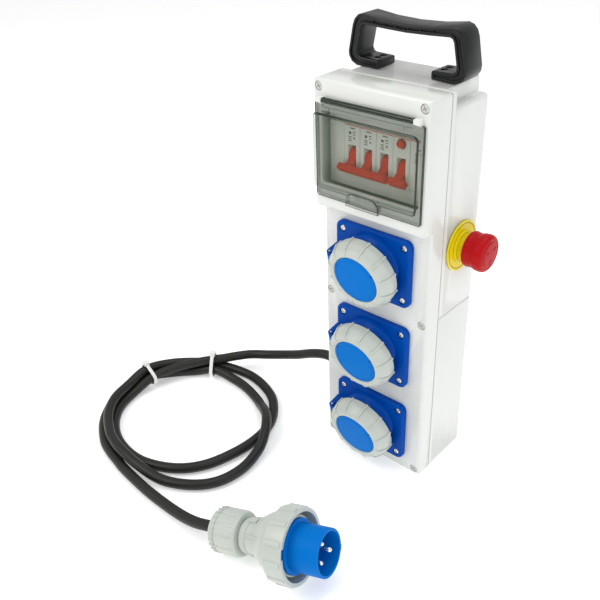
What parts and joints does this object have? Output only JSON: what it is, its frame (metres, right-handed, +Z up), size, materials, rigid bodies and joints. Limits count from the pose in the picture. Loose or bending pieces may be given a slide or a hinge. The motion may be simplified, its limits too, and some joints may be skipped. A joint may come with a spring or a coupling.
{
  "type": "portable power distribution box",
  "caption": "Upright portable power distribution box: breakers under a smoked window, capped round sockets below, stop button on the side, carrying handle and a coiled lead with plug.",
  "frame": {"origin": "on the floor, under the middle of the casing footprint", "axes": "+Z up, the front with the sockets faces -Y, +X to the right seen from the front"},
  "size_m": [0.382, 0.288, 0.4401],
  "materials": {
    "casing": "gloss, faint moulded grain",
    "gasket": "matt",
    "smoked_window": "clear smoked polycarbonate",
    "steel": "zinc plated",
    "breaker_housing": "satin",
    "red_plastic": "satin gloss",
    "socket_blue": "gloss",
    "cap_blue": "satin gloss",
    "light_grey": "satin",
    "contact_blue": "satin",
    "yellow_plastic": "gloss",
    "black_plastic": "satin",
    "lead_rubber": "matt",
    "chrome_pins": "bright nickel",
    "white_nylon": "satin"
  },
  "bodies": {
    "casing": {"base_tub": "casing", "blanking_strip": "breaker_housing", "breaker_body_3_pole": "breaker_housing", "cable_tie_far": "white_nylon", "cable_tie_near_box": "white_nylon", "carrying_handle": "black_plastic", "din_rail": "steel", "front_lid": "casing", "gland_body": "black_plastic", "gland_nut": "black_plastic", "lid_gasket": "gasket", "lid_screw_bottom_left": "casing", "lid_screw_bottom_right": "casing", "lid_screw_middle_left": "casing", "lid_screw_middle_right": "casing", "lid_screw_top_left": "casing", "lid_screw_top_right": "casing", "plug_body": "light_grey", "plug_contact_pins": "chrome_pins", "plug_gland_nut": "light_grey", "plug_sleeve": "cap_blue", "power_lead": "lead_rubber", "rcbo_body": "breaker_housing", "socket_1_body": "socket_blue", "socket_1_cap_hinge_pin": "steel", "socket_1_contact_insert": "contact_blue", "socket_1_screw_lower_left": "steel", "socket_1_screw_lower_right": "steel", "socket_1_screw_upper_left": "steel", "socket_1_screw_upper_right": "steel", "socket_2_body": "socket_blue", "socket_2_cap_hinge_pin": "steel", "socket_2_contact_insert": "contact_blue", "socket_2_screw_lower_left": "steel", "socket_2_screw_lower_right": "steel", "socket_2_screw_upper_left": "steel", "socket_2_screw_upper_right": "steel", "socket_3_body": "socket_blue", "socket_3_cap_hinge_pin": "steel", "socket_3_contact_insert": "contact_blue", "socket_3_screw_lower_left": "steel", "socket_3_screw_lower_right": "steel", "socket_3_screw_upper_left": "steel", "socket_3_screw_upper_right": "steel", "stop_button_bezel": "yellow_plastic", "stop_contact_block": "black_plastic", "stop_legend_plate": "yellow_plastic"},
    "window": {"breaker_window": "smoked_window"},
    "breaker_lever": {"breaker_toggle_3_pole": "red_plastic"},
    "rcbo_lever": {"rcbo_toggle": "red_plastic"},
    "test_button": {"rcbo_test_button": "red_plastic"},
    "stop_plunger": {"stop_button_plunger": "black_plastic"},
    "stop_head": {"stop_button_head": "red_plastic"},
    "plug_ring": {"plug_bayonet_ring": "light_grey"},
    "socket_1_lid": {"socket_1_cap": "cap_blue"},
    "socket_1_ring": {"socket_1_lock_ring": "light_grey"},
    "socket_2_lid": {"socket_2_cap": "cap_blue"},
    "socket_2_ring": {"socket_2_lock_ring": "light_grey"},
    "socket_3_lid": {"socket_3_cap": "cap_blue"},
    "socket_3_ring": {"socket_3_lock_ring": "light_grey"}
  },
  "joints": [
    {"name": "window_hinge", "type": "hinge", "parent": "casing", "child": "window", "pos_m": [0, -0.0536, 0.3782], "axis": [-1, 0, 0], "range_deg": [0, 120]},
    {"name": "breaker_lever_pivot", "type": "hinge", "parent": "casing", "child": "breaker_lever", "pos_m": [0, -0.0305, 0.327], "axis": [-1, 0, 0], "range_deg": [0, 76]},
    {"name": "rcbo_lever_pivot", "type": "hinge", "parent": "casing", "child": "rcbo_lever", "pos_m": [0.025, -0.0305, 0.327], "axis": [-1, 0, 0], "range_deg": [0, 76]},
    {"name": "test_button_press", "type": "slide", "parent": "casing", "child": "test_button", "axis": [0, 1, 0], "range_m": [0, 0.0015], "stiffness_N_per_m": 200, "springref_m": -0.001},
    {"name": "stop_push", "type": "slide", "parent": "casing", "child": "stop_plunger", "axis": [-1, 0, 0], "range_m": [0, 0.005]},
    {"name": "stop_twist_release", "type": "hinge", "parent": "stop_plunger", "child": "stop_head", "pos_m": [0.06, 0.0095, 0.2485], "axis": [-1, 0, 0], "range_deg": [0, 45], "stiffness_Nm_per_rad": 0.02},
    {"name": "socket_1_lid_hinge", "type": "hinge", "parent": "casing", "child": "socket_1_lid", "pos_m": [-0.0405, -0.05371, 0.22795], "axis": [0, 0.1908, -0.9816], "range_deg": [0, 110]},
    {"name": "socket_1_ring_turn", "type": "hinge", "parent": "socket_1_lid", "child": "socket_1_ring", "pos_m": [0, -0.0596, 0.2268], "axis": [0, -0.9816, -0.1908], "range_deg": [0, 45]},
    {"name": "socket_2_lid_hinge", "type": "hinge", "parent": "casing", "child": "socket_2_lid", "pos_m": [-0.0405, -0.05371, 0.13695], "axis": [0, 0.1908, -0.9816], "range_deg": [0, 110]},
    {"name": "socket_2_ring_turn", "type": "hinge", "parent": "socket_2_lid", "child": "socket_2_ring", "pos_m": [0, -0.0596, 0.1358], "axis": [0, -0.9816, -0.1908], "range_deg": [0, 45]},
    {"name": "socket_3_lid_hinge", "type": "hinge", "parent": "casing", "child": "socket_3_lid", "pos_m": [-0.0405, -0.05371, 0.04595], "axis": [0, 0.1908, -0.9816], "range_deg": [0, 110]},
    {"name": "socket_3_ring_turn", "type": "hinge", "parent": "socket_3_lid", "child": "socket_3_ring", "pos_m": [0, -0.0596, 0.0448], "axis": [0, -0.9816, -0.1908], "range_deg": [0, 45]},
    {"name": "plug_ring_turn", "type": "hinge", "parent": "casing", "child": "plug_ring", "pos_m": [0.04439, -0.21184, 0.03723], "axis": [0.9493, 0.2279, 0.2164], "range_deg": [0, 45]}
  ]
}
